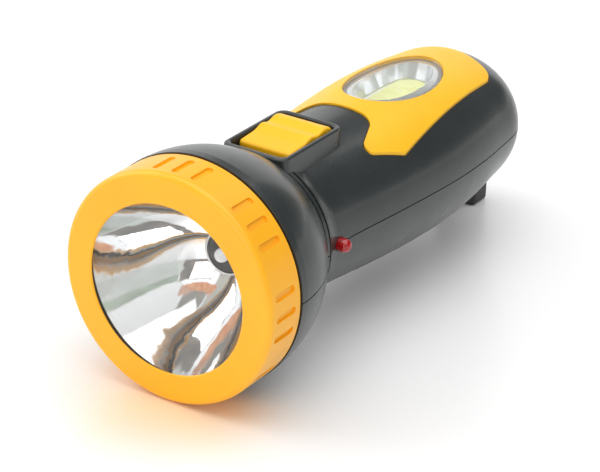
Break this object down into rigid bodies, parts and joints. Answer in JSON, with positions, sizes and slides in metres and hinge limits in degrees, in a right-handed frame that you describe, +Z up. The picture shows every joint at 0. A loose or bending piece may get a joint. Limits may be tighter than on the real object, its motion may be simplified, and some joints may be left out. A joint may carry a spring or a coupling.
{
  "type": "rechargeable hand torch",
  "caption": "Hand torch with a wide front lamp behind a screw-on lens ring, a sliding switch, an oval side lamp in the grip and a foot under the tail.",
  "frame": {"origin": "on the floor, under the middle of the torch's bounding box", "axes": "-Y towards the front lamp, +Y towards the tail, +Z up, +X towards the side with the indicator LED"},
  "size_m": [0.0824, 0.207, 0.0824],
  "materials": {
    "yellow_plastic": "glossy",
    "yellow_grip": "satin",
    "dark_grey_plastic": "satin",
    "clear_lens": "clear",
    "side_lens_plastic": "clear",
    "chromed_plastic": "mirror coated",
    "silvered_plastic": "faceted satin silver",
    "phosphor": "soft matt",
    "led_clear": "clear epoxy",
    "led_red": "tinted epoxy",
    "black_rubber": "matt",
    "black_plastic": "matt",
    "green_board": "solder mask",
    "white_board": "white solder mask",
    "battery_case": "moulded",
    "tinned_metal": "tinned",
    "foam": "open cell",
    "capacitor_case": "dipped",
    "can_sleeve": "sleeved can",
    "resistor_body": "lacquered",
    "wire_sleeve": "sleeved",
    "steel_screw": "plated"
  },
  "bodies": {
    "torch": {"reflector": "chromed_plastic", "led_holder": "black_plastic", "lamp_led": "led_clear", "lamp_board": "green_board", "lamp_board_screws": "steel_screw", "upper_shell": "dark_grey_plastic", "lower_shell": "dark_grey_plastic", "tail_foot": "dark_grey_plastic", "shell_screws": "steel_screw", "slide_switch": "tinned_metal", "control_board": "green_board", "board_screws": "steel_screw", "dropper_capacitor": "capacitor_case", "filter_capacitor": "can_sleeve", "rectifier_diodes": "black_plastic", "resistors": "resistor_body", "indicator_led": "led_red", "indicator_leads": "tinned_metal", "trim_panel": "yellow_grip", "side_lens": "side_lens_plastic", "side_reflector": "silvered_plastic", "cob_board": "white_board", "cob_phosphor": "phosphor", "battery": "battery_case", "battery_terminals": "tinned_metal", "battery_pad": "foam", "charge_socket": "black_plastic", "lamp_wires": "wire_sleeve", "side_lamp_wires": "wire_sleeve", "battery_wires": "wire_sleeve", "charge_wires": "wire_sleeve"},
    "lens_group": {"front_lens": "clear_lens", "lens_seal": "black_rubber"},
    "bezel": {"bezel_ring": "yellow_plastic"},
    "switch": {"switch_knob": "yellow_grip", "switch_lever": "black_plastic"}
  },
  "joints": [
    {"name": "bezel_advance", "type": "slide", "parent": "torch", "child": "lens_group", "axis": [0, -1, 0], "range_m": [0, 0.009]},
    {"name": "bezel_turn", "type": "hinge", "parent": "lens_group", "child": "bezel", "pos_m": [0, -0.0945, 0.0412], "axis": [0, -1, 0], "range_deg": [0, 1080]},
    {"name": "switch_slide", "type": "slide", "parent": "torch", "child": "switch", "axis": [0, -1, 0], "range_m": [0, 0.0045]}
  ],
  "couplings": [
    {"joint": "bezel_advance", "follows": "bezel_turn", "m_per_rad": 0.000477}
  ]
}
